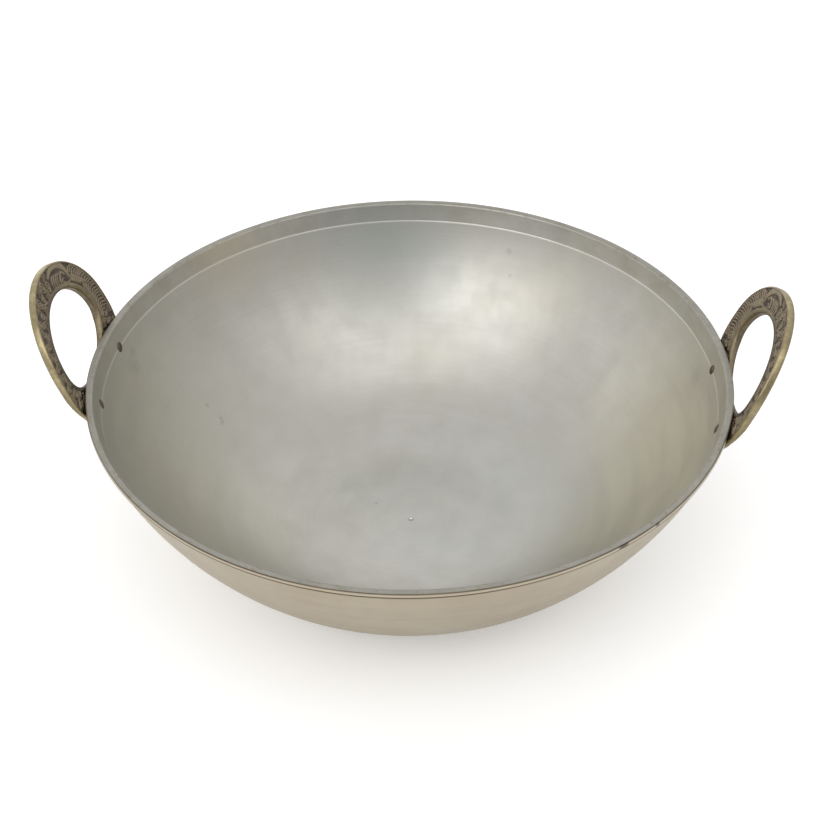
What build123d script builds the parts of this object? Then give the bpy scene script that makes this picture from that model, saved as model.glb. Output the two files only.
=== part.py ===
from build123d import *
import os
from math import acos, asin, atan2, cos, degrees, radians, sin

# A kadai: a round, shallow brass cooking bowl with a tinned inside and two cast ring handles.
# Each handle is an oval ring, flat against the wall and held by two rivets just below the rim.
# Millimetres, +Z up. The origin is the middle of the flat base. The handles lie on +X and -X.

# Bowl
rim_diameter = 300.0
bowl_height = 93.8
base_diameter = 84.0
wall = 2.75            # brass, without the tin
rim_slope = 70.8       # degrees from level, of the outer wall at the rim
knuckle_share = 0.454  # where the tight lower curve hands over to the wide upper one
lip_height = 2.3       # the turned band outside the rim

# Tin lining
tin = 0.25
tin_edge = 0.4         # how far the tin stops short of the rim's outer corner
line_width = 0.55      # the turned line that the rivets stand on
line_depth = 0.12
centre_mark = 2.4      # the lathe's mark in the middle of the floor
centre_mark_depth = 0.15

# Rivets
rivet_drop = 8.5       # from the rim down to the rivets, inside
rivet_spacing = 44.7   # between a handle's two rivets, inside
shank = 4.0
shank_clearance = 0.03
inner_head = 5.0
inner_head_height = 0.7
outer_head = 8.0
outer_head_height = 2.2

# Handle ring, measured on its own slanted face from the line through its rivets
handle_width = 81.0
handle_top = 60.0
handle_bottom = 11.2   # below the rivets
widest_level = 22.5
corner_radius = 28.0   # of the ring's lower corners
band_top = 14.0        # the ring's width at its top
band_side = 11.8
bar_top = 4.8          # the lower edge of the finger hole
handle_thickness = 3.7
foot_thickness = 2.4   # where the rivets pass
foot_level = 4.0
taper_level = 16.0
bend_radius = 220.0    # the ring is bent a little round the bowl
seat_gap = 0.15        # between the ring and the wall, before the pads are fitted
seat_clearance = 0.05
pad_diameter = 11.0
outer_border = 1.5     # plain borders round the relief
inner_border = 2.4
relief_depth = 0.6
relief_start = 10.0

overrun = 5.0          # how far a cutting solid passes what it cuts

rim_radius = rim_diameter / 2
base_radius = base_diameter / 2
skin = wall + tin
slope = radians(rim_slope)
chord = atan2(bowl_height, rim_radius - base_radius)
knuckle_angle = 2 * chord - slope + knuckle_share * 2 * (slope - chord)


def arc_radii():
    """The two radii that carry the outer wall from the level base to the rim's slope."""
    run, rise = rim_radius - base_radius, bowl_height
    low_run, low_rise = sin(knuckle_angle), 1 - cos(knuckle_angle)
    high_run, high_rise = sin(slope) - sin(knuckle_angle), cos(knuckle_angle) - cos(slope)
    scale = low_run * high_rise - low_rise * high_run
    return (run * high_rise - rise * high_run) / scale, (rise * low_run - run * low_rise) / scale


knuckle_radius, side_radius = arc_radii()
knuckle_centre = (base_radius, knuckle_radius)
side_centre = (rim_radius - side_radius * sin(slope), bowl_height + side_radius * cos(slope))


def at(radius, height):
    return (radius, 0, height)


def on_arc(centre, radius, angle):
    return at(centre[0] + radius * sin(angle), centre[1] - radius * cos(angle))


def side_angle(inset, height):
    """The wall's angle where the surface this far inside the outer one reaches a height."""
    return acos((side_centre[1] - height) / (side_radius - inset))


def wall_path(inset, top):
    """The wall's line from the axis to a height, this far inside the outer surface."""
    foot = at(base_radius, inset)
    low, high = knuckle_radius - inset, side_radius - inset
    end = side_angle(inset, top)
    knuckle_end = on_arc(knuckle_centre, low, knuckle_angle)
    floor = Line(at(0, inset), foot)
    knuckle = ThreePointArc(foot, on_arc(knuckle_centre, low, knuckle_angle / 2), knuckle_end)
    side = ThreePointArc(knuckle_end, on_arc(side_centre, high, (knuckle_angle + end) / 2),
                         on_arc(side_centre, high, end))
    return [floor, knuckle, side]


def turned(edges):
    return revolve(make_face(edges), Axis.Z)


def tip(path):
    return path[-1] @ 1


def make_bowl():
    """The brass body, with its lip standing out from the wall at the rim."""
    brass_top = bowl_height - tin
    lip_foot = bowl_height - lip_height
    outside = wall_path(0, lip_foot)
    inside = wall_path(wall, brass_top)
    lip = Polyline(tip(outside), at(rim_radius, lip_foot), at(rim_radius, brass_top), tip(inside))
    return turned(outside + [lip] + inside + [Line(at(0, 0), at(0, wall))])


def make_lining():
    """The tin on the inside and on top of the rim, with its turned line and centre mark."""
    under = wall_path(wall, bowl_height - tin)
    over = wall_path(skin, bowl_height)
    edge = rim_radius - tin_edge
    rim = Polyline(tip(under), at(edge, bowl_height - tin), at(edge, bowl_height), tip(over))
    lining = turned(under + [rim] + over + [Line(at(0, wall), at(0, skin))])
    line_radius = (line_width ** 2 / 4 + line_depth ** 2) / (2 * line_depth)
    place = on_arc(side_centre, side_radius - skin - line_radius + line_depth, rivet_angle)
    lining -= turned([Plane(place, x_dir=(1, 0, 0), z_dir=(0, 1, 0)) * Edge.make_circle(line_radius)])
    mark_radius = (centre_mark ** 2 / 4 + centre_mark_depth ** 2) / (2 * centre_mark_depth)
    return lining - Pos(0, 0, skin + mark_radius - centre_mark_depth) * Sphere(mark_radius)


def make_seat():
    """The space that the wall and lip take, grown by the clearance that a handle is fitted with."""
    lip_foot = bowl_height - lip_height - seat_clearance
    reach = rim_radius + seat_clearance
    outside = wall_path(-seat_clearance, lip_foot)
    lip = Polyline(tip(outside), at(reach, lip_foot), at(reach, bowl_height), at(0, bowl_height),
                   at(0, -seat_clearance))
    return turned(outside + [lip])


rivet_angle = side_angle(skin, bowl_height - rivet_drop)
rivet_turn = degrees(asin(rivet_spacing / 2 / on_arc(side_centre, side_radius - skin, rivet_angle)[0]))
outward = (sin(rivet_angle), 0, -cos(rivet_angle))
handle_seat = on_arc(side_centre, side_radius + seat_gap, rivet_angle)
handle_plane = Plane(handle_seat, x_dir=(0, 1, 0), z_dir=outward)
rivet_plane = Plane(on_arc(side_centre, side_radius, rivet_angle), x_dir=(0, 1, 0), z_dir=outward)


def ring_outline(inset):
    """The ring's outer line, moved in by an inset: half an ellipse over a foot with round corners."""
    half, radius = handle_width / 2 - inset, corner_radius - inset
    low = inset - handle_bottom
    arch = EllipticalCenterArc((0, widest_level), half, handle_top - widest_level - inset, arc_size=180)
    sides = [Line((x, widest_level), (x, low + radius)) for x in (half, -half)]
    corners = [CenterArc((half - radius, low + radius), radius, 270, 90),
               CenterArc((radius - half, low + radius), radius, 180, 90)]
    floor = Line((radius - half, low), (half - radius, low))
    return make_face([arch, floor] + sides + corners)


def hole_outline(outset):
    """The finger hole's line, moved out by an outset: two half ellipses that meet at the widest level."""
    half = handle_width / 2 - band_side + outset
    over = handle_top - band_top - widest_level + outset
    under = widest_level - bar_top + outset
    return make_face([EllipticalCenterArc((0, widest_level), half, over, arc_size=180),
                      EllipticalCenterArc((0, widest_level), half, under, 180, arc_size=180)])


def bent(points):
    """Turns a section, given as distance out from the inner face and level, round the bend's axis."""
    section = make_face(Polyline([(0, level, out) for out, level in points], close=True))
    return revolve(section, Axis((0, 0, -bend_radius), (0, 1, 0)))


def make_blank():
    """The bent plate that the ring is cut from, thinner at the foot than at the ring."""
    low, high = -handle_bottom - overrun, handle_top + overrun
    return bent([(0, low), (foot_thickness, low), (foot_thickness, foot_level),
                 (handle_thickness, taper_level), (handle_thickness, high), (0, high)])


def make_relief():
    """The sunk fields on both faces that the ornament stands in."""
    high = handle_top + overrun
    back = handle_thickness - relief_depth
    inner = bent([(-overrun, relief_start), (relief_depth, relief_start),
                  (relief_depth, high), (-overrun, high)])
    outer = bent([(back, taper_level), (back + overrun, taper_level),
                  (back + overrun, high), (back, high)])
    return inner + outer


def prism(face):
    return extrude(face, amount=handle_thickness + overrun, both=True)


def rivet_holes():
    hole = extrude(rivet_plane * Circle(shank / 2 + shank_clearance), amount=skin + overrun, both=True)
    return [Rotation(0, 0, turn) * hole for turn in (rivet_turn, -rivet_turn)]


def make_handle(seat):
    """The +X handle in its place, with its pads fitted to the wall. Its holes aren't drilled yet."""
    ring = make_blank() & prism(ring_outline(0) - hole_outline(0))
    field = make_relief() & prism(ring_outline(outer_border) - hole_outline(inner_border))
    handle = handle_plane * (ring - field)
    for turn in (rivet_turn, -rivet_turn):
        pad = extrude(rivet_plane * Circle(pad_diameter / 2), amount=foot_thickness)
        handle += Rotation(0, 0, turn) * pad
    return handle - seat


def make_dome(diameter, height, root):
    """A low round head on the XY plane, with a root below it that is cut to fit what it sits on."""
    radius = (diameter ** 2 / 4 + height ** 2) / (2 * height)
    cap = Pos(0, 0, height - radius) * Sphere(radius)
    cap &= extrude(Circle(diameter / 2), amount=height)
    return cap + extrude(Circle(diameter / 2), amount=-root)


def make_rivet(turn, walls, handle):
    """One rivet, with each head cut to fit the surface that it was closed down on."""
    place = Rotation(0, 0, turn) * rivet_plane.location
    reach = seat_gap + foot_thickness
    rod = Pos(0, 0, -skin) * extrude(Circle(shank / 2), amount=skin + reach + outer_head_height / 2)
    inner = Pos(0, 0, -skin) * Rotation(180, 0, 0) * make_dome(inner_head, inner_head_height, wall)
    outer = Pos(0, 0, reach) * make_dome(outer_head, outer_head_height, foot_thickness)
    heads = place * inner - walls + (place * outer - handle - walls)
    return heads + place * rod


bowl, lining = make_bowl(), make_lining()
handle = make_handle(make_seat())
walls = bowl + lining
# Each side's place, and the turn that takes a rivet to the rear once the side is there
sides = {"right": (Rotation(0, 0, 0), rivet_turn), "left": (Rotation(0, 0, 180), -rivet_turn)}
parts = {"bowl": bowl, "tin_lining": lining}
for side, (place, rear_turn) in sides.items():
    parts[f"handle_{side}"] = place * (handle - rivet_holes())
    for end, turn in {"rear": rear_turn, "front": -rear_turn}.items():
        parts[f"rivet_{side}_{end}"] = place * make_rivet(turn, walls, handle)
    for hole in rivet_holes():
        parts["bowl"] -= place * hole
        parts["tin_lining"] -= place * hole

os.makedirs("parts", exist_ok=True)
for name, part in parts.items():
    export_step(part, f"parts/{name}.step")
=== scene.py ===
import bpy
from math import acos, asin, atan2, cos, pi, radians, sin
import numpy as np
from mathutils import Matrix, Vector


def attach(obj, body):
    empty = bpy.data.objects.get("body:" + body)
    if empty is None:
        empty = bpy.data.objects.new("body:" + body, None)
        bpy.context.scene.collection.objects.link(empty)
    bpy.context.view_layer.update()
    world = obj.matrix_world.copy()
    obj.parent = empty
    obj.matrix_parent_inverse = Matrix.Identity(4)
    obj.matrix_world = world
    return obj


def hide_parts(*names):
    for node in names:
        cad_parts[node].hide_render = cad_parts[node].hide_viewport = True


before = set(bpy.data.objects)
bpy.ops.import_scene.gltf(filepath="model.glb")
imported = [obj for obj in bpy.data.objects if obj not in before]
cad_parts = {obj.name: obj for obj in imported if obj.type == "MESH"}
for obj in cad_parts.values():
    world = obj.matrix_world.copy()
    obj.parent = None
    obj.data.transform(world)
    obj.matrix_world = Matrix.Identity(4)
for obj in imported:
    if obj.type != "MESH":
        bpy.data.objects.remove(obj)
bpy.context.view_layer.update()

# A kadai: a tinned brass bowl with two cast ring handles. Metres, in the frame of the CAD.
# Lengths below are typed in millimetres and multiplied by MM where a mesh is made.
MM = 0.001
rng = np.random.default_rng(7)

# Sizes of the CAD model
RIM, HEIGHT, BASE = 150.0, 93.8, 42.0
WALL, TIN, LIP = 2.75, 0.25, 2.3
SKIN = WALL + TIN
SLOPE = radians(70.8)
CHORD = atan2(HEIGHT, RIM - BASE)
KNUCKLE = 2 * CHORD - SLOPE + 0.454 * 2 * (SLOPE - CHORD)
LEAST_FLOOR, LEAST_ARC = 4, 6         # fewest points on the wall's floor and on each of its arcs
LINE_DROP = 8.5                # from the rim down to the turned line and the rivets
SPACING = 44.7                 # between a handle's two rivets


def arc_radii():
    """The two radii that carry the outer wall from the level base to the rim's slope."""
    run, rise = RIM - BASE, HEIGHT
    low_run, low_rise = sin(KNUCKLE), 1 - cos(KNUCKLE)
    high_run, high_rise = sin(SLOPE) - sin(KNUCKLE), cos(KNUCKLE) - cos(SLOPE)
    scale = low_run * high_rise - low_rise * high_run
    return (run * high_rise - rise * high_run) / scale, (rise * low_run - run * low_rise) / scale


LOW, SIDE = arc_radii()
SIDE_X, SIDE_Z = RIM - SIDE * sin(SLOPE), HEIGHT + SIDE * cos(SLOPE)


def side_point(inset, angle):
    """A point (radius, height) of the upper curve, this far inside the wall's outside."""
    return SIDE_X + (SIDE - inset) * sin(angle), SIDE_Z - (SIDE - inset) * cos(angle)


def side_angle(inset, height):
    """The upper curve's angle at a height."""
    return acos((SIDE_Z - height) / (SIDE - inset))


def wall_line(inset, top, step):
    """Points (radius, height) of the wall from the axis up to a height, this far inside its outside."""
    floor = [(r, inset) for r in np.linspace(0.0, BASE, max(LEAST_FLOOR, int(BASE / step)))[:-1]]
    angles = np.linspace(0, KNUCKLE, max(LEAST_ARC, int((LOW - inset) * KNUCKLE / step)))[:-1]
    knuckle = [(BASE + (LOW - inset) * sin(a), LOW - (LOW - inset) * cos(a)) for a in angles]
    end = side_angle(inset, top)
    angles = np.linspace(KNUCKLE, end, max(LEAST_ARC, int((SIDE - inset) * (end - KNUCKLE) / step)))
    return floor + knuckle + [side_point(inset, a) for a in angles]


def corner(point, start, end, radius, count=5):
    """A rounded corner: an arc about a point, between two angles in degrees."""
    return [(point[0] + radius * cos(a), point[1] + radius * sin(a))
            for a in np.radians(np.linspace(start, end, count))]


def new_object(name, points, faces, material, smooth=True):
    mesh = bpy.data.meshes.new(name)
    mesh.from_pydata([tuple(p) for p in points], [], [tuple(f) for f in faces])
    mesh.polygons.foreach_set("use_smooth", [smooth] * len(mesh.polygons))
    mesh.update()
    obj = bpy.data.objects.new(name, mesh)
    bpy.context.scene.collection.objects.link(obj)
    obj.data.materials.append(material)
    return obj


def add_value(obj, name, values):
    obj.data.attributes.new(name, "FLOAT", "POINT").data.foreach_set("value", np.asarray(values, "f"))


def lathe(name, profile, segments, material):
    """Turns a profile that starts and ends on the axis, and keeps each point's way along it."""
    profile = np.array(profile)
    way = np.concatenate([[0], np.cumsum(np.hypot(*np.diff(profile, axis=0).T))])
    turn = np.arange(segments) * 2 * pi / segments
    body, body_way = profile[1:-1], way[1:-1]
    ring = np.stack([np.outer(body[:, 0], np.cos(turn)), np.outer(body[:, 0], np.sin(turn)),
                     np.repeat(body[:, 1:], segments, axis=1)], axis=-1).reshape(-1, 3)
    points = np.vstack([ring, [[0, 0, profile[0, 1]], [0, 0, profile[-1, 1]]]]) * MM
    rows, first, last = len(body), len(ring), len(ring) + 1
    here = np.arange(segments)
    after = (here + 1) % segments
    faces = [(first, b, a) for a, b in zip(here, after)]
    for row in range(rows - 1):
        low, high = row * segments, (row + 1) * segments
        faces += [(low + a, low + b, high + b, high + a) for a, b in zip(here, after)]
    top = (rows - 1) * segments
    faces += [(top + a, top + b, last) for a, b in zip(here, after)]
    obj = new_object(name, points, faces, material)
    add_value(obj, "way", np.concatenate([np.repeat(body_way, segments), [way[0], way[-1]]]))
    return obj


# Materials
class Nodes:
    """A short way to write a material's node tree."""

    def __init__(self, name, metallic, roughness):
        self.material = bpy.data.materials.new(name)
        self.material.use_nodes = True
        self.tree = self.material.node_tree
        self.shader = self.tree.nodes["Principled BSDF"]
        self.shader.inputs["Metallic"].default_value = metallic
        self.shader.inputs["Roughness"].default_value = roughness
        self.place = self.add("ShaderNodeTexCoord").outputs["Object"]

    def add(self, kind, inputs=(), **settings):
        node = self.tree.nodes.new(kind)
        for key, value in settings.items():
            setattr(node, key, value)
        for key, value in dict(inputs).items():
            if isinstance(value, bpy.types.NodeSocket):
                self.tree.links.new(value, node.inputs[key])
            else:
                node.inputs[key].default_value = value
        return node

    def math(self, kind, a, b=0.0, c=0.0):
        return self.add("ShaderNodeMath", {0: a, 1: b, 2: c}, operation=kind).outputs[0]

    def noise(self, vector, scale, detail=3.0, rough=0.55):
        return self.add("ShaderNodeTexNoise", {"Vector": vector, "Scale": scale, "Detail": detail,
                                               "Roughness": rough}).outputs["Fac"]

    def value(self, name):
        return self.add("ShaderNodeAttribute", attribute_name=name).outputs["Fac"]

    def spread(self, value, low, high, to_low=0.0, to_high=1.0):
        return self.add("ShaderNodeMapRange", {0: value, 1: low, 2: high, 3: to_low, 4: to_high}).outputs[0]

    def mix(self, share, a, b, blend="MIX"):
        node = self.add("ShaderNodeMix", data_type="RGBA", blend_type=blend)
        for index, value in ((0, share), (6, a), (7, b)):
            if isinstance(value, bpy.types.NodeSocket):
                self.tree.links.new(value, node.inputs[index])
            else:
                node.inputs[index].default_value = value
        return node.outputs[2]

    def around(self, spin, along):
        """Coordinates for marks that run round the bowl: (cos, sin) times spin, and the way times along."""
        x, y, _ = self.split(self.place)
        flat = self.add("ShaderNodeCombineXYZ", {0: x, 1: y}).outputs[0]
        unit = self.add("ShaderNodeVectorMath", {0: flat}, operation="NORMALIZE").outputs[0]
        unit_x, unit_y, _ = self.split(unit)
        return self.add("ShaderNodeCombineXYZ", {
            0: self.math("MULTIPLY", unit_x, spin), 1: self.math("MULTIPLY", unit_y, spin),
            2: self.math("MULTIPLY", self.value("way"), along)}).outputs[0]

    def split(self, vector):
        return self.add("ShaderNodeSeparateXYZ", {0: vector}).outputs

    def spot(self, centre, radius, soft):
        """1 inside a ball about a point in millimetres, falling to 0 over its soft edge."""
        away = self.add("ShaderNodeVectorMath", {0: self.place, 1: [c * MM for c in centre]},
                        operation="DISTANCE").outputs["Value"]
        return self.spread(away, (radius + soft) * MM, radius * MM)

    def level(self, low, high):
        """0 at the first height in millimetres and 1 at the second."""
        return self.spread(self.split(self.place)[2], low * MM, high * MM)

    def bump(self, height, distance, strength=1.0, normal=None):
        inputs = {"Height": height, "Distance": distance * MM, "Strength": strength}
        if normal is not None:
            inputs["Normal"] = normal
        return self.add("ShaderNodeBump", inputs).outputs[0]

    def to(self, socket, value):
        self.tree.links.new(value, self.shader.inputs[socket])


# Heights in millimetres where a finish, or a painted shade, begins and where it is full
WALL_LEVELS = 6.0, 35.0        # marks that run up the wall
BAND_LEVELS = 85.6, 86.2       # the duller band above the turned line
TIN_TOP_LEVELS, SPECK_LEVELS = (93.2, 93.65), (92.4, 93.7)
# where the painted shadow under the lip's overhang begins and where it is full
LIP_SHADE_FOOT, LIP_SHADE_TOP = (89.6, 90.4), (92.15, 91.85)
BRASS_TOP_LEVELS = 93.0, 93.4
LINE_OUTER, LINE_INNER = 0.42, 0.2    # the turned line's painted highlight, either side of its middle

TIN_DULL, TIN_PALE = (0.50, 0.482, 0.43, 1), (0.525, 0.518, 0.485, 1)
TIN_WIPED, TIN_TURNED = (0.57, 0.553, 0.52, 1), (0.44, 0.43, 0.385, 1)
TIN_CLOUD, TIN_DRAWN = (0.40, 0.385, 0.34, 1), (0.42, 0.425, 0.40, 1)
BAND_BROWN, BAND_GREY = (0.37, 0.345, 0.275, 1), (0.35, 0.345, 0.31, 1)
RIM_GREY, RIM_SPECK = (0.30, 0.29, 0.255, 1), (0.24, 0.19, 0.11, 1)
# the turned line's painted highlight, and small dark scuffs
LINE_HIGHLIGHT, SCUFF_DARK = (0.70, 0.685, 0.63, 1), (0.16, 0.14, 0.11, 1)

# Patches of another tone in the tin, some of them painted light: middle, radius and soft edge in millimetres,
# share, colour
TIN_TONES_AND_PAINTED_LIGHT = [
    # painted light: the right wall is made the warmest and lightest part of the tin, where more light falls
    ((120.0, -8.0, 46.0), 30.0, 60.0, 0.8, (0.64, 0.60, 0.47, 1)),
    ((121.0, -68.0, 76.0), 8.0, 30.0, 0.5, (0.66, 0.63, 0.53, 1)),
    ((116.0, -16.0, 44.0), 14.0, 38.0, 0.8, (0.75, 0.722, 0.60, 1)),
    # duller places on the floor
    ((-74.0, 36.0, 14.0), 20.0, 46.0, 0.65, (0.465, 0.455, 0.41, 1)),
    ((61.0, 16.0, 6.0), 10.0, 32.0, 0.55, (0.455, 0.455, 0.425, 1)),
    # the left wall: a yellower tone, and painted light on its near, lower part
    ((-122.0, -5.0, 58.0), 30.0, 60.0, 0.6, (0.50, 0.48, 0.40, 1)),
    ((-98.0, -30.0, 28.0), 15.0, 45.0, 0.7, (0.62, 0.60, 0.52, 1)),
    # a cool grey patch at the back, a painted warm highlight on the band at the back left, and warmer places
    # at the back right
    ((-23.0, 137.0, 76.0), 6.0, 46.0, 0.7, (0.37, 0.40, 0.375, 1)),
    ((-102.7, 102.7, 89.5), 6.0, 26.0, 0.6, (0.56, 0.51, 0.40, 1)),
    ((66.9, 115.9, 66.0), 8.0, 22.0, 0.4, (0.58, 0.55, 0.46, 1)),
    ((40.0, 133.0, 76.0), 6.0, 26.0, 0.4, (0.58, 0.565, 0.52, 1)),
    # the cooler middle of the floor
    ((30.0, 10.0, 10.0), 30.0, 50.0, 0.45, (0.50, 0.515, 0.495, 1)),
]

# Small dark scuffs in the tin: middle, radius and soft edge in millimetres, share
TIN_SCUFFS = [
    ((-18.2, 10.7, 3.0), 0.4, 0.5, 0.6),
    ((42.2, 132.4, 75.3), 0.7, 1.4, 0.5),
    ((43.3, 125.6, 64.2), 0.4, 1.2, 0.4),
    ((-105.4, 40.0, 37.8), 0.4, 1.2, 0.6),
    ((-98.8, 38.6, 30.8), 0.3, 1.1, 0.6),
    ((-97.6, 37.4, 29.8), 0.4, 1.0, 0.6),
    ((-97.9, 36.0, 29.6), 0.3, 0.9, 0.55),
    ((-136.0, 22.7, 73.2), 1.5, 5.0, 0.3),
    ((-137.5, 29.0, 78.0), 0.5, 3.0, 0.3),
    ((135.4, 30.5, 75.0), 1.5, 5.0, 0.3),
]

# The lathe's mark in the middle of the floor, a dark ring about a bright point, in the same columns
# as the patches
CENTRE_MARKS = [
    ((0.0, -0.4, 3.0), 1.1, 0.7, 0.45, (0.22, 0.21, 0.18, 1)),
    ((0.0, 0.2, 3.0), 0.5, 0.4, 0.9, (0.80, 0.79, 0.75, 1)),
]


def tin_material():
    n = Nodes("tin", metallic=1.0, roughness=0.4)
    way = n.value("way")
    fine = n.noise(n.around(2.5, 1.6), 1.0, 4.0, 0.6)
    wipe = n.noise(n.around(1.6, 0.11), 1.0)
    drawn = n.noise(n.around(14.0, 0.03), 1.0)
    blotch = n.noise(n.place, 24.0, 5.0, 0.6)
    cloud = n.noise(n.place, 75.0, 4.0, 0.6)
    grain = n.noise(n.place, 900.0, 2.0)
    base = n.mix(n.spread(blotch, 0.36, 0.64), TIN_DULL, TIN_PALE)
    base = n.mix(n.spread(wipe, 0.3, 0.7, 0.0, 0.5), base, TIN_WIPED)
    base = n.mix(n.spread(fine, 0.35, 0.7, 0.0, 0.35), base, TIN_TURNED)
    base = n.mix(n.spread(cloud, 0.42, 0.7, 0.0, 0.22), base, TIN_CLOUD)
    drawn = n.math("MULTIPLY", n.spread(drawn, 0.45, 0.75), n.level(*WALL_LEVELS))
    base = n.mix(n.math("MULTIPLY", drawn, 0.12), base, TIN_DRAWN)
    dull = n.mix(n.spread(blotch, 0.4, 0.6), BAND_BROWN, BAND_GREY)
    share = n.math("MULTIPLY", n.level(*BAND_LEVELS), n.spread(cloud, 0.3, 0.65, 0.2, 0.6))
    base = n.mix(share, base, dull)
    uneven = n.spread(wipe, 0.3, 0.7, 0.6, 1.0)
    # tone patches, and among them painted light on the walls and a painted highlight on the band
    for place, radius, soft, share, tint in TIN_TONES_AND_PAINTED_LIGHT:
        patch = n.math("MULTIPLY", n.spot(place, radius, soft), uneven)
        base = n.mix(n.math("MULTIPLY", patch, share), base, tint)
    # the top of the rim is duller too, with brown specks at its edge
    share = n.math("MULTIPLY", n.level(*TIN_TOP_LEVELS), n.spread(cloud, 0.3, 0.65, 0.75, 1.0))
    base = n.mix(share, base, RIM_GREY)
    speck = n.spread(n.noise(n.around(38.0, 0.5), 1.0, 3.0, 0.6), 0.56, 0.66)
    speck = n.math("MULTIPLY", speck, n.level(*SPECK_LEVELS))
    base = n.mix(n.math("MULTIPLY", speck, 0.5), base, RIM_SPECK)
    # painted highlight along the turned line, where light catches its groove
    line = n.math("MULTIPLY", n.spread(way, LINE_WAY - LINE_OUTER, LINE_WAY - LINE_INNER),
                  n.spread(way, LINE_WAY + LINE_OUTER, LINE_WAY + LINE_INNER))
    base = n.mix(n.math("MULTIPLY", line, 0.75), base, LINE_HIGHLIGHT)
    rubbed = n.spread(n.noise(n.place, 1900.0), 0.42, 0.6)
    for place, radius, soft, share in TIN_SCUFFS:
        scuff = n.math("MULTIPLY", n.spot(place, radius, soft), rubbed)
        base = n.mix(n.math("MULTIPLY", scuff, share), base, SCUFF_DARK)
    for place, radius, soft, share, tint in CENTRE_MARKS:
        base = n.mix(n.math("MULTIPLY", n.spot(place, radius, soft), share), base, tint)
    n.to("Base Color", base)
    rough = n.math("ADD", n.spread(wipe, 0.3, 0.7, 0.37, 0.43), n.math("MULTIPLY", drawn, 0.02))
    n.to("Roughness", n.math("ADD", rough, n.spread(cloud, 0.3, 0.7, -0.02, 0.04)))
    brushed = n.bump(n.math("ADD", n.math("MULTIPLY", fine, 0.5), n.math("MULTIPLY", grain, 0.25)), 0.05, 0.5)
    waves = n.math("ADD", n.noise(n.place, 14.0, 2.0), n.math("MULTIPLY", drawn, 0.05))
    n.to("Normal", n.bump(waves, 0.8, 0.15, brushed))
    return n.material


BRASS_DULL, BRASS_PALE = (0.53, 0.462, 0.355, 1), (0.58, 0.522, 0.415, 1)
BRASS_CLOUD, BRASS_TURNED = (0.50, 0.43, 0.295, 1), (0.44, 0.38, 0.28, 1)
# painted shadow under the lip's overhang, the rim's dark top edge, and dark nicks
LIP_SHADE_DARK, BRASS_TOP, NICK_DARK = (0.07, 0.045, 0.025, 1), (0.10, 0.075, 0.05, 1), (0.07, 0.05, 0.04, 1)
# Dark nicks on the rim at the near right: middle, radius and soft edge in millimetres
NICKS = [((98.3, -113.1, 93.2), 1.6, 1.8), ((112.7, -98.8, 93.2), 0.7, 0.9)]


def brass_material():
    n = Nodes("brass_outside", metallic=1.0, roughness=0.34)
    fine = n.noise(n.around(3.0, 2.2), 1.0, 4.0, 0.6)
    band = n.noise(n.around(1.5, 0.2), 1.0)
    blotch = n.noise(n.place, 26.0, 4.0, 0.6)
    cloud = n.noise(n.place, 90.0, 4.0, 0.6)
    base = n.mix(n.spread(blotch, 0.36, 0.64), BRASS_DULL, BRASS_PALE)
    base = n.mix(n.spread(cloud, 0.45, 0.7, 0.0, 0.35), base, BRASS_CLOUD)
    base = n.mix(n.spread(fine, 0.4, 0.7, 0.0, 0.3), base, BRASS_TURNED)
    # painted shadow: a dark band under the lip's overhang
    lip_shade = n.math("MULTIPLY", n.level(*LIP_SHADE_FOOT), n.level(*LIP_SHADE_TOP))
    base = n.mix(n.math("MULTIPLY", lip_shade, n.spread(band, 0.3, 0.6, 0.7, 0.98)), base, LIP_SHADE_DARK)
    top = n.math("MULTIPLY", n.level(*BRASS_TOP_LEVELS), n.spread(band, 0.3, 0.6, 0.55, 0.9))
    base = n.mix(top, base, BRASS_TOP)
    for place, radius, soft in NICKS:
        base = n.mix(n.math("MULTIPLY", n.spot(place, radius, soft), 0.8), base, NICK_DARK)
    n.to("Base Color", base)
    n.to("Roughness", n.spread(band, 0.3, 0.7, 0.3, 0.42))
    n.to("Normal", n.bump(fine, 0.05, 0.5))
    return n.material


HOLLOW_DARK, HOLLOW_BROWN = (0.09, 0.073, 0.062, 1), (0.155, 0.125, 0.10, 1)
GOLD_DULL, GOLD_BRIGHT = (0.36, 0.30, 0.17, 1), (0.53, 0.45, 0.26, 1)
WORN_BROWN, RAISED = (0.25, 0.195, 0.115, 1), (0.36, 0.295, 0.20, 1)


def handle_material():
    n = Nodes("antique_brass", metallic=1.0, roughness=0.4)
    relief, polish = n.value("relief"), n.value("polish")
    cloud = n.noise(n.place, 160.0)
    grain = n.noise(n.place, 1400.0)
    scratch = n.noise(n.place, 420.0, 4.0, 0.7)
    dark = n.mix(n.spread(cloud, 0.35, 0.65), HOLLOW_DARK, HOLLOW_BROWN)
    gold = n.mix(n.spread(n.noise(n.place, 60.0, 2.0), 0.38, 0.62), GOLD_DULL, GOLD_BRIGHT)
    worn = n.mix(n.spread(scratch, 0.35, 0.7, 0.0, 0.6), gold, WORN_BROWN)
    height = n.math("ADD", relief, n.spread(scratch, 0.3, 0.7, -0.2, 0.2))
    base = n.mix(n.spread(height, 0.2, 1.05), dark, RAISED)
    base = n.mix(n.math("ADD", polish, n.spread(scratch, 0.35, 0.7, 0.0, -0.15)), base, worn)
    n.to("Base Color", base)
    n.to("Roughness", n.spread(polish, 0.0, 1.0, 0.48, 0.33))
    n.to("Normal", n.bump(grain, 0.04, 0.5))
    return n.material


RIVET_DARK, RIVET_WORN = (0.075, 0.065, 0.052, 1), (0.17, 0.142, 0.11, 1)


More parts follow.
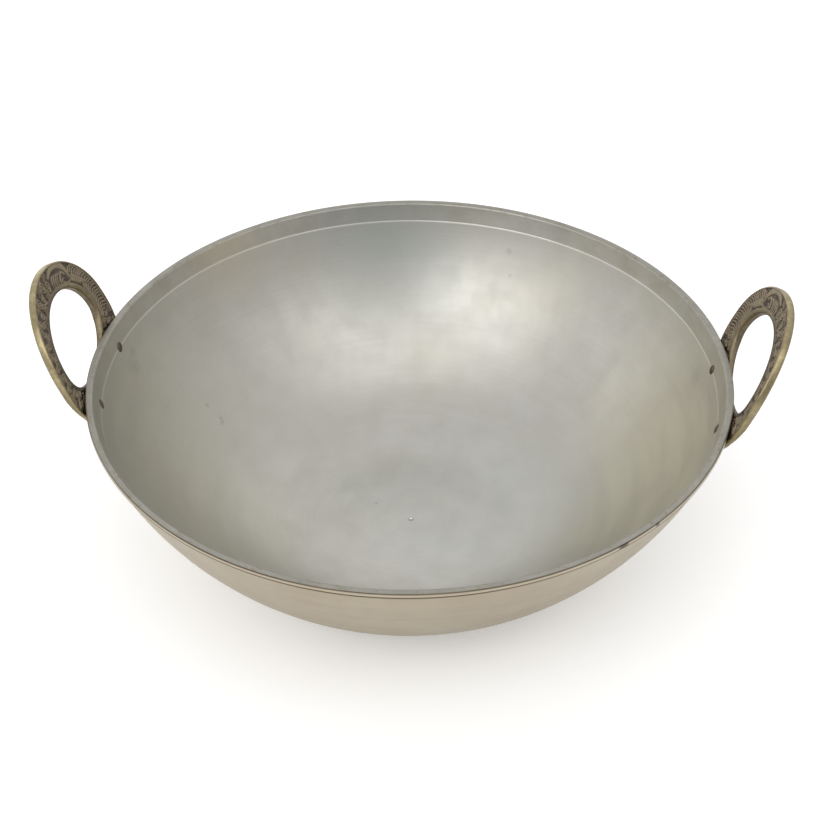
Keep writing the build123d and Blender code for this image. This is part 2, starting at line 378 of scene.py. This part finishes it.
def rivet_material():
    n = Nodes("rivet_metal", metallic=1.0, roughness=0.42)
    cloud = n.noise(n.place, 500.0)
    grain = n.noise(n.place, 1500.0)
    n.to("Base Color", n.mix(n.spread(cloud, 0.35, 0.65), RIVET_DARK, RIVET_WORN))
    n.to("Roughness", n.spread(cloud, 0.3, 0.7, 0.34, 0.52))
    n.to("Normal", n.bump(grain, 0.06, 0.6))
    return n.material


brass_paint, handle_paint, rivet_paint = brass_material(), handle_material(), rivet_material()
segments = 384
step = 1.0
INSIDE_STEP, UNDER_STEP = 5, 6        # longer steps where brass and tin cover each other
LIP_ROUND, TOP_ROUND = 0.25, 0.2      # roundings of the lip's foot and of its top

# Bowl and lining
brass_top, lip_foot = HEIGHT - TIN, HEIGHT - LIP
outside = wall_line(0, lip_foot, step)
inside = wall_line(WALL, brass_top, step * INSIDE_STEP)
rim = [(RIM - LIP_ROUND, lip_foot)]
rim += corner((RIM - LIP_ROUND, lip_foot + LIP_ROUND), -60, 0, LIP_ROUND, 4)
rim += corner((RIM - TOP_ROUND, brass_top - TOP_ROUND), 0, 90, TOP_ROUND)
bowl = lathe("bowl_brass", outside + rim + inside[::-1], segments, brass_paint)
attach(bowl, "root")
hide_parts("bowl")

TIN_EDGE = RIM - 0.4           # the tin stops short of the rim's outer corner
INNER_EDGE, EDGE_LEAN = 1.1, 0.35     # the soft edge between the wall and the rim's top
FLAT_IN, FLAT_OUT, EDGE_ROUND = 0.4, 0.2, 0.15    # the rim's flat top, and its outer rounding
TURNED_HALF, TURNED_DEPTH = 0.3, 0.05
TURNED_ROOM = 0.45             # no other point of the wall lies this close to the turned line
MARK_PROFILE = [(0.0, 0.15), (0.5, 0.12), (0.9, 0.05), (1.2, 0.0), (1.6, 0.0)]    # radius and depth
MARK_END = 2.0
FLOOR_IN, FLOOR_OUT, FLOOR_END = BASE - 14, BASE + 14, 100.0


def floor_blend(r):
    """Lifts the lining a little where the flat floor meets the curve, so that the slope grows evenly."""
    span = FLOOR_OUT - FLOOR_IN
    full = span ** 2 / 24 / LOW
    if r < FLOOR_OUT:
        eased = max(r - FLOOR_IN, 0) ** 3 / (6 * span * LOW)
        return eased - max(r - BASE, 0) ** 2 / (2 * LOW) if r > FLOOR_IN else 0.0
    return full * max(0.0, (FLOOR_END - r) / (FLOOR_END - FLOOR_OUT))


inner_top = HEIGHT - INNER_EDGE
inner_tip = side_point(SKIN, side_angle(SKIN, inner_top))
over = [(r, z + floor_blend(r)) for r, z in wall_line(SKIN, inner_top, step)]
line_at = side_angle(SKIN, HEIGHT - LINE_DROP)
line_mid = np.array(side_point(SKIN, line_at))
inward = np.array([-sin(line_at), cos(line_at)])
upward = np.array([cos(line_at), sin(line_at)])
turned = [tuple(line_mid + upward * x - inward * TURNED_DEPTH * (1 - (x / TURNED_HALF) ** 2))
          for x in np.linspace(-TURNED_HALF, TURNED_HALF, 7)]
over = [p for p in over if abs(np.dot(np.array(p) - line_mid, upward)) > TURNED_ROOM]
below = [p for p in over if MARK_END < p[0] and p[1] < line_mid[1]]
above = [p for p in over if p[1] >= line_mid[1]]
centre = [(r, SKIN - depth) for r, depth in MARK_PROFILE]
soft = [(inner_tip[0] + INNER_EDGE * x * (EDGE_LEAN + (1 - EDGE_LEAN) * x),
         inner_top + INNER_EDGE * sin(pi / 2 * x)) for x in (0.2, 0.4, 0.6, 0.8, 1.0)]
flat = [(r, HEIGHT) for r in np.linspace(soft[-1][0] + FLAT_IN, TIN_EDGE - FLAT_OUT, 4)]
flat += corner((TIN_EDGE - EDGE_ROUND, HEIGHT - EDGE_ROUND), 90, 0, EDGE_ROUND, 4)
under = wall_line(WALL, brass_top, step * UNDER_STEP) + [(TIN_EDGE, brass_top)]
lining_line = under + (centre + below + turned + above + soft + flat)[::-1]
steps = np.hypot(*np.diff(np.array(lining_line), axis=0).T)
LINE_WAY = float(steps[:lining_line.index(turned[3])].sum())
lining = lathe("tin_inside", lining_line, segments, tin_material())
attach(lining, "root")
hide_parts("tin_lining")

# Handles. Their own frame has w along +Y, s up along the ring's face and n out through its thickness.
RIVET_ANGLE = side_angle(SKIN, HEIGHT - LINE_DROP)
RIVET_TURN = asin(SPACING / 2 / side_point(SKIN, RIVET_ANGLE)[0])
OUT = np.array([sin(RIVET_ANGLE), 0, -cos(RIVET_ANGLE)])
UP = np.array([cos(RIVET_ANGLE), 0, sin(RIVET_ANGLE)])
ACROSS = np.array([0.0, 1.0, 0.0])
SEAT_GAP, FOOT, THICK = 0.15, 2.4, 3.7    # gap to the wall, and thickness at the foot and above it
BEND = 220.0                   # radius that the plate is bent to
WIDE, HALF, TOP, BOTTOM, CORNER = 22.5, 40.5, 60.0, -11.2, 28.0    # levels, half width, lower corners
BAND_SIDE, BAND_TOP, HOLE_BOTTOM = 11.8, 14.0, 4.8
HOLE_HALF, HOLE_TOP = HALF - BAND_SIDE, TOP - BAND_TOP
TAPER_FROM, TAPER_OVER = 4.0, 12.0    # level where the foot begins to thicken, and over what length
EDGE, HOLE_EDGE = 1.0, 1.2     # rounding at the ring's outer line and at its hole
FIELD_EDGE, BEAD = 1.0, 2.5    # plain border outside the relief, and the bead round the hole
FIELD_SOFT = 0.3               # the slope at the relief field's borders
FIELD_FOOT, BACK_FOOT = (-1.0, 1.5), (14.0, 17.0)    # levels where the two fields rise out of the foot
DEPTH = 0.6                    # of the fields
BAND_HALF, BAND_END = 4.1, 103.0      # half the ornament's width, and how far it runs down each limb
GROUND = 0.05                  # roughness of the casting's ground
# Points that the ring's lines are sampled at, and the rays that the even steps are found from
ARCH_POINTS, CORNER_POINTS, BAR_POINTS, HOLE_POINTS, TRIAL_RAYS = 721, 361, 201, 1441, 4001


def outline(count):
    """Rays from the widest level's middle, in even steps round the ring from its top.

    Returns each ray's angle, its reach to the outer line and to the hole, and its way along the band.
    """
    arch = [(HALF * cos(a), WIDE + (TOP - WIDE) * sin(a)) for a in np.linspace(0, pi, ARCH_POINTS)]
    left = corner((CORNER - HALF, BOTTOM + CORNER), 180, 270, CORNER, CORNER_POINTS)
    right = corner((HALF - CORNER, BOTTOM + CORNER), 270, 360, CORNER, CORNER_POINTS)
    bar = [(x, BOTTOM) for x in np.linspace(CORNER - HALF, HALF - CORNER, BAR_POINTS)]
    outer = np.array(arch + left + bar[1:-1] + right)
    hole = [(HOLE_HALF * cos(a), WIDE + (HOLE_TOP - WIDE if a < pi else WIDE - HOLE_BOTTOM) * sin(a))
            for a in np.linspace(0, 2 * pi, HOLE_POINTS)[:-1]]
    tables = []
    for line in (outer, np.array(hole)):
        angle = np.unwrap(np.arctan2(line[:, 1] - WIDE, line[:, 0]))
        reach = np.hypot(line[:, 0], line[:, 1] - WIDE)
        order = np.argsort(angle % (2 * pi))
        tables.append((angle[order] % (2 * pi), reach[order]))

    def ray(angle):
        return [np.interp(angle % (2 * pi), a, r, period=2 * pi) for a, r in tables]

    angle = pi / 2 + np.linspace(0, 2 * pi, TRIAL_RAYS)
    out, hole_reach = ray(angle)
    middle = (out + hole_reach) / 2
    steps = np.hypot(np.diff(middle * np.cos(angle)), np.diff(middle * np.sin(angle)))
    way = np.concatenate([[0], np.cumsum(steps)])
    ways = np.linspace(0, way[-1], count, endpoint=False)
    angle = np.interp(ways, way, angle)
    out, hole_reach = ray(angle)
    return angle, out, hole_reach, np.where(ways > way[-1] / 2, ways - way[-1], ways)


CURL_POINTS, STROKE_POINTS = 40, 14
CURL_IN = 0.86                 # the share of its radius that a curl winds in
STROKE_FOOT = 1.25             # a stroke's rounded section is this much wider at its foot
SEEDS = 1000


def spiral(x, y, radius, turns, start, hand):
    """A curl that winds in towards its middle."""
    a = np.linspace(0, turns * 2 * pi, CURL_POINTS)
    r = radius * (1 - CURL_IN * a / a[-1])
    return np.stack([x + r * np.cos(start + hand * a), y + r * np.sin(start + hand * a)], 1)


def arc_line(a, b, sag):
    """A curved stroke between two points."""
    a, b = np.array(a, float), np.array(b, float)
    t = np.linspace(0, 1, STROKE_POINTS)[:, None]
    across = np.array([a[1] - b[1], b[0] - a[0]])
    return a + (b - a) * t + across * sag * 4 * t * (1 - t)


def ornament():
    """Strokes of the casting's scrollwork, as (points, half width, height), along and across the band.

    Along runs in millimetres from the top of the ring, plus to the rear limb. Across runs from
    -BAND_HALF at the ring's outer line to BAND_HALF at the hole.
    """
    strokes = []
    # the large crescent just behind the top, with a curl inside it and small leaves around it
    for sag in (0.15, 0.18, 0.21, 0.24):
        strokes.append((arc_line((7.0, -0.9), (27.0, 1.5), -sag), 0.5, 1.0))
    strokes.append((arc_line((22.6, 0.4), (18.4, 3.2), 0.45), 0.55, 1.0))
    strokes.append((arc_line((21.6, 2.2), (20.2, 3.4), 0.3), 0.35, 0.9))
    strokes.append((arc_line((28.2, 2.4), (22.0, 3.7), -0.15), 0.4, 0.95))
    for x in (9.2, 11.4, 13.6, 15.6):
        strokes.append((arc_line((x, 3.7), (x + 1.9, -0.3), -0.25), 0.38, 0.9))
        strokes.append((arc_line((x - 0.5, 2.4), (x + 0.6, 0.6), 0.2), 0.24, 0.8))
    # a long smooth leaf behind the crescent, with ribs between it and the ring's outer line
    for lift in (0.6, 1.5, 2.4):
        strokes.append((arc_line((29.0, lift), (41.0 - 2 * lift, lift - 0.3), 0.03), 0.9, 0.95))
    for k in range(20):
        x = 25.2 + 1.62 * k + 0.2 * sin(5.0 * k)
        strokes.append((arc_line((x + 0.6, -0.5), (x + 3.2, -3.8), -0.16), 0.33, 1.0))
        if x > 38:
            strokes.append((arc_line((x, 0.2), (x + 2.8, 3.7), 0.16), 0.28, 0.9))
    # running scroll with leaves down the front limb, and on from the leaf at the rear
    for side, start in ((-1, -3.6), (1, 60.0)):
        x, hand = start, 1
        while x < BAND_END:
            size = 2.1 * (1.0 + 0.16 * sin(1.7 * x))
            turn = pi / 2 * hand + 0.4 * sin(x)
            strokes.append((spiral(side * x, 0.9 * hand, size, 1.6, turn, side * hand), 0.3, 1.0))
            foot, end = (side * (x - 1.4), 3.4 * hand), (side * (x + 4.8), -3.3 * hand)
            strokes.append((arc_line(foot, end, 0.2 * side * hand), 0.3, 0.9))
            for k in range(4):
                tip = (side * (x + 2.2 + 0.8 * k), hand * (3.9 - 0.5 * k))
                root = (side * (x + 1.9 + 0.5 * k), hand * (1.6 - 0.55 * k))
                strokes.append((arc_line(root, tip, 0.14 * side * hand), 0.24, 0.85))
            for k in range(4):
                tip = (side * (x - 2.0 + 0.95 * k), hand * -3.9)
                root = (side * (x - 1.5 + 0.75 * k), hand * -1.9)
                strokes.append((arc_line(root, tip, 0.15 * hand), 0.24, 0.85))
            x += 5.2
            hand = -hand
    # small seeds that fill the ground
    seeds = np.random.default_rng(11)
    for x, y in zip(seeds.uniform(-BAND_END, BAND_END, SEEDS), seeds.uniform(-3.9, 3.9, SEEDS)):
        turn = seeds.uniform(0, 2 * pi)
        reach = seeds.uniform(0.15, 0.55)
        end = (x + reach * cos(turn), y + reach * sin(turn))
        strokes.append((arc_line((x, y), end, 0.3), 0.2, seeds.uniform(0.35, 0.7)))
    return strokes


def relief_height(along_way, across_way):
    """Height of the scrollwork, 0 to 1, at points given along the band and across it in millimetres."""
    height = np.zeros_like(along_way)
    for line, half_width, top in ornament():
        low, high = line[:, 0].min() - 1, line[:, 0].max() + 1
        near = (along_way > low) & (along_way < high)
        if not near.any():
            continue
        x, y = along_way[near][:, None], across_way[near][:, None]
        a, b = line[:-1], line[1:]
        d = b - a
        t = np.clip(((x - a[:, 0]) * d[:, 0] + (y - a[:, 1]) * d[:, 1]) / (d ** 2).sum(1), 0, 1)
        away = np.sqrt((x - a[:, 0] - t * d[:, 0]) ** 2 + (y - a[:, 1] - t * d[:, 1]) ** 2).min(1)
        shape = top * np.sqrt(np.clip(1 - (away / (half_width * STROKE_FOOT)) ** 2, 0, 1))
        height[near] = np.maximum(height[near], shape)
    return height


def to_bowl(local, seat):
    """Points of the handle's frame, set at a seat (radius, height) on the +X side of the bowl."""
    return (np.array([seat[0], 0, seat[1]]) + local[:, :1] * ACROSS + local[:, 1:2] * UP
            + local[:, 2:] * OUT)


def smooth(value, low, high):
    """0 to 1 between two values, with no kink at either."""
    t = np.clip((value - low) / (high - low), 0, 1)
    return t * t * (3 - 2 * t)


def ring_mesh(material, side):
    count = 880
    face_steps = 50
    back_steps = 34
    angle, out, hole, way = outline(count)
    width = out - hole
    limb = way * -side
    verts, relief, polish = [], [], []

    def section(d):
        """Across and up in the handle's frame at a distance in from the outer line, and the thickness."""
        reach = out - d
        w, s = reach * np.cos(angle), WIDE + reach * np.sin(angle)
        return w, s, FOOT + (THICK - FOOT) * np.clip((s - TAPER_FROM) / TAPER_OVER, 0, 1)

    def add_row(d, share, sunk, relief_value, polish_value):
        """A row of points round the ring, at a share of the thickness and then this much deeper."""
        w, s, thickness = section(d)
        depth = share * thickness + sunk
        n = np.sqrt((BEND + depth) ** 2 - w ** 2) - BEND
        verts.append(np.stack([w, s, n], 1))
        relief.append(np.broadcast_to(relief_value, w.shape))
        polish.append(np.broadcast_to(polish_value, w.shape))

    def face_rows(shares, hole_edge, foot):
        """For each row of a face: how far in it lies, how much it is in the field, and its relief."""
        d = EDGE + (width - EDGE - hole_edge) * shares[:, None]
        low, high = FIELD_EDGE, width - BEAD
        inside = smooth(d, low, low + FIELD_SOFT) * (1 - smooth(d, high - FIELD_SOFT, high))
        across = (d - (low + high) / 2) * (BAND_HALF / ((high - low) / 2))
        scroll = relief_height(np.broadcast_to(limb, d.shape), across)
        scroll = np.clip(scroll + rng.normal(0, GROUND, d.shape), 0, 1)
        for low, high in foot:
            inside = inside * smooth(section(d)[1], low, high)
        return zip(d, inside, scroll)

    # The section runs over the inner face, the hole's wall, the back and the outer edge. The bead
    # round the hole is worn bright, and on the rear limb, which faces the lights, it is painted brighter
    # still as a painted highlight; on the front limb it stays dull.
    bead_wear_and_highlight = 0.15 + 0.55 * smooth(limb, -8.0, 30.0)
    for d, inside, scroll in face_rows(np.linspace(0, 1, face_steps + 1), HOLE_EDGE, [FIELD_FOOT]):
        shine = np.where(d > width - BEAD, bead_wear_and_highlight, 0.3)
        add_row(d, 0, DEPTH * inside * (1 - 0.95 * scroll), scroll * inside, (1 - inside) * shine)
    for a in np.radians([18, 36, 54, 72, 90]):
        shine = bead_wear_and_highlight * (1 - 0.4 * sin(a) ** 4)
        add_row(width - HOLE_EDGE * (1 - sin(a)), 0, HOLE_EDGE * (1 - cos(a)), 0.0, shine)
    for share in (0.55, 0.65, 0.75):
        add_row(width, share, 0, 0.0, 0.55 * bead_wear_and_highlight)
    for a in np.radians([90, 67.5, 45, 22.5]):
        add_row(width - EDGE * (1 - sin(a)), 1, -EDGE * (1 - cos(a)), 0.0, 0.45)
    for d, inside, scroll in face_rows(np.linspace(1, 0, back_steps + 1), EDGE, [FIELD_FOOT, BACK_FOOT]):
        add_row(d, 1, -DEPTH * inside * (1 - 0.95 * scroll), scroll * inside, 0.7 * (1 - inside))
    for a in np.radians([15, 30, 45, 60, 75, 90]):
        add_row(EDGE * (1 - sin(a)), 1, -EDGE * (1 - cos(a)), 0.0, 0.6 + 0.2 * sin(a))
    for share, shine in ((0.58, 0.85), (0.5, 0.92), (0.42, 1.0)):
        add_row(0.0, share, 0, 0.0, shine)
    for a in np.radians([90, 75, 60, 45, 30, 15]):
        add_row(EDGE * (1 - sin(a)), 0, EDGE * (1 - cos(a)), 0.0, 0.55 + 0.45 * sin(a))

    points = to_bowl(np.concatenate(verts), side_point(-SEAT_GAP, RIVET_ANGLE))
    if side < 0:
        points[:, :2] *= -1
    here = np.arange(count)
    after = (here + 1) % count
    faces = []
    for row in range(len(verts)):
        a, b = row * count, ((row + 1) % len(verts)) * count
        faces.append(np.stack([a + here, b + here, b + after, a + after], 1))
    name = "handle_ring_right" if side > 0 else "handle_ring_left"
    obj = new_object(name, points * MM, np.concatenate(faces).tolist(), material)
    add_value(obj, "relief", np.concatenate(relief))
    add_value(obj, "polish", np.concatenate(polish))
    return obj


for side, label in ((1, "right"), (-1, "left")):
    ring = ring_mesh(handle_paint, side)
    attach(ring, "root")
    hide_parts(f"handle_{label}")


SHANK = 2.0                    # the rivets' radius
INNER_HEAD, INNER_RISE = 2.5, 0.7     # radius and height of the heads in the bowl
OUTER_HEAD, OUTER_RISE = 4.0, 2.2
INNER_SINK = 0.05              # how far the inner heads sit into the tin
OVAL, UNEVEN, FLATS = 0.05, 0.03, 0.05    # hammer marks


def rivet(label, end, turn):
    """A solid rivet: a small peened head inside the bowl and a domed one outside."""
    def dome(radius, height, count):
        ball = (radius ** 2 + height ** 2) / (2 * height)
        reach = asin(radius / ball)
        return [(ball * sin(a), height - ball + ball * cos(a)) for a in np.linspace(0, reach, count)]

    low, high = -SKIN, SEAT_GAP + FOOT
    inner = [(r, low + INNER_SINK - h) for r, h in dome(INNER_HEAD, INNER_RISE, 9)]
    outer = [(r, high + h) for r, h in dome(OUTER_HEAD, OUTER_RISE, 12)]
    shank = [(INNER_HEAD, low + 0.3), (SHANK, low + 0.35), (SHANK, high - 0.5), (OUTER_HEAD, high - 0.4)]
    obj = lathe(f"rivet_{label}_{end}_metal", inner + shank + outer[::-1], 64, rivet_paint)
    mesh = obj.data
    points = np.empty(len(mesh.vertices) * 3)
    mesh.vertices.foreach_get("co", points)
    points = points.reshape(-1, 3) / MM
    # the heads are a little out of round, with a few flats
    spin = np.arctan2(points[:, 1], points[:, 0])
    a, b = rng.uniform(0, 2 * pi, 2)
    points[:, :2] *= (1 + OVAL * np.sin(2 * spin + a) + UNEVEN * np.sin(3 * spin + b))[:, None]
    heads = np.hypot(points[:, 0], points[:, 1]) < 1.5
    points[:, 2] += np.where(heads, FLATS * np.sin(3 * points[:, 0] + a) * np.cos(2.4 * points[:, 1] + b), 0)
    placed = to_bowl(points, side_point(0, RIVET_ANGLE))
    c, s = cos(turn), sin(turn)
    placed[:, :2] = placed[:, :2] @ np.array([[c, s], [-s, c]])
    mesh.vertices.foreach_set("co", (placed * MM).ravel())
    mesh.update()
    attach(obj, "root")
    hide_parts(f"rivet_{label}_{end}")


rivet("right", "rear", RIVET_TURN)
rivet("right", "front", -RIVET_TURN)
rivet("left", "rear", pi - RIVET_TURN)
rivet("left", "front", pi + RIVET_TURN)

# Floor, white surroundings and soft studio lights
FLOOR_HALF, FLOOR_DROP = 6.0, 0.0002
FLOOR_GLOW = 0.26              # lifts the floor to the photograph's white, for the camera alone
floor_paint = Nodes("floor", metallic=0.0, roughness=0.9)
floor_paint.shader.inputs["Base Color"].default_value = (0.93, 0.93, 0.93, 1)
seen = floor_paint.add("ShaderNodeLightPath").outputs["Is Camera Ray"]
floor_paint.shader.inputs["Emission Color"].default_value = (1, 1, 1, 1)
floor_paint.to("Emission Strength", floor_paint.math("MULTIPLY", seen, FLOOR_GLOW))
corners = [(FLOOR_HALF * x, FLOOR_HALF * y, -FLOOR_DROP) for x, y in ((-1, -1), (1, -1), (1, 1), (-1, 1))]
floor = new_object("floor", corners, [(0, 1, 2, 3)], floor_paint.material)

world = bpy.data.worlds.new("studio")
world.use_nodes = True
tree = world.node_tree
surround = tree.nodes["Background"]
surround.inputs["Color"].default_value = (1, 1, 1, 1)
toward = tree.nodes.new("ShaderNodeSeparateXYZ")
tree.links.new(tree.nodes.new("ShaderNodeTexCoord").outputs["Generated"], toward.inputs[0])


def fade(direction, low, high, to_low, to_high):
    """A strength that changes from one side of the studio to the other."""
    node = tree.nodes.new("ShaderNodeMapRange")
    tree.links.new(direction, node.inputs[0])
    for index, value in ((1, low), (2, high), (3, to_low), (4, to_high)):
        node.inputs[index].default_value = value
    return node.outputs[0]


# brighter overhead than near the floor, and darker in front than behind
strength = tree.nodes.new("ShaderNodeMath")
strength.operation = "MULTIPLY"
tree.links.new(fade(toward.outputs[2], -0.05, 0.5, 0.50, 0.92), strength.inputs[0])
tree.links.new(fade(toward.outputs[1], -1.0, 1.0, 0.72, 1.14), strength.inputs[1])
tree.links.new(strength.outputs[0], surround.inputs["Strength"])
white = tree.nodes.new("ShaderNodeBackground")
white.inputs["Color"].default_value = (1, 1, 1, 1)
white.inputs["Strength"].default_value = 1.0
path = tree.nodes.new("ShaderNodeLightPath")
mix = tree.nodes.new("ShaderNodeMixShader")
tree.links.new(path.outputs["Is Camera Ray"], mix.inputs[0])
tree.links.new(surround.outputs[0], mix.inputs[1])
tree.links.new(white.outputs[0], mix.inputs[2])
tree.links.new(mix.outputs[0], tree.nodes["World Output"].inputs[0])
bpy.context.scene.world = world


LIGHT_REACH, LIGHT_AIM = 1.8, 0.05    # metres from the bowl, and the height aimed at


def softbox(name, azimuth, elevation, size, power):
    """A soft panel aimed at the bowl. Azimuth 0 is the front, 90 the right."""
    turn, rise = radians(azimuth), radians(elevation)
    light = bpy.data.lights.new(name, "AREA")
    light.shape = "RECTANGLE"
    light.size, light.size_y = size
    light.energy = power
    obj = bpy.data.objects.new(name, light)
    bpy.context.scene.collection.objects.link(obj)
    toward = Vector((sin(turn) * cos(rise), -cos(turn) * cos(rise), sin(rise)))
    obj.location = toward * LIGHT_REACH + Vector((0, 0, LIGHT_AIM))
    obj.rotation_euler = toward.to_track_quat("Z", "Y").to_euler()


# Name, azimuth and elevation in degrees, size in metres, power in watts
for light in [("key", -33, 39, (1.3, 0.7), 5.7),
              ("front", 12, 60, (1.7, 0.8), 3.6),
              ("right", 55, 44, (1.3, 0.7), 1.7),
              ("left", -85, 18, (2.2, 0.8), 3.0),
              ("back_left", -150, 8, (1.6, 0.5), 1.6),
              ("back", 180, 48, (1.4, 0.9), 0.6)]:
    softbox(*light)

# Camera at the photograph's angle: lens in millimetres, place in metres and turn in degrees
LENS, SENSOR = 86.158, 36.0
EYE = (0.05824076, -0.73447004, 0.65086688)
EYE_TURN = (51.6953966, 0.3366563, 4.1181380)
camera = bpy.data.cameras.new("camera")
camera.lens, camera.sensor_width, camera.sensor_fit = LENS, SENSOR, "HORIZONTAL"
camera.clip_start, camera.clip_end = 0.01, 20
eye = bpy.data.objects.new("camera", camera)
eye.location = EYE
eye.rotation_euler = [radians(a) for a in EYE_TURN]
bpy.context.scene.collection.objects.link(eye)
bpy.context.scene.camera = eye
bpy.context.scene.view_settings.view_transform = "Standard"
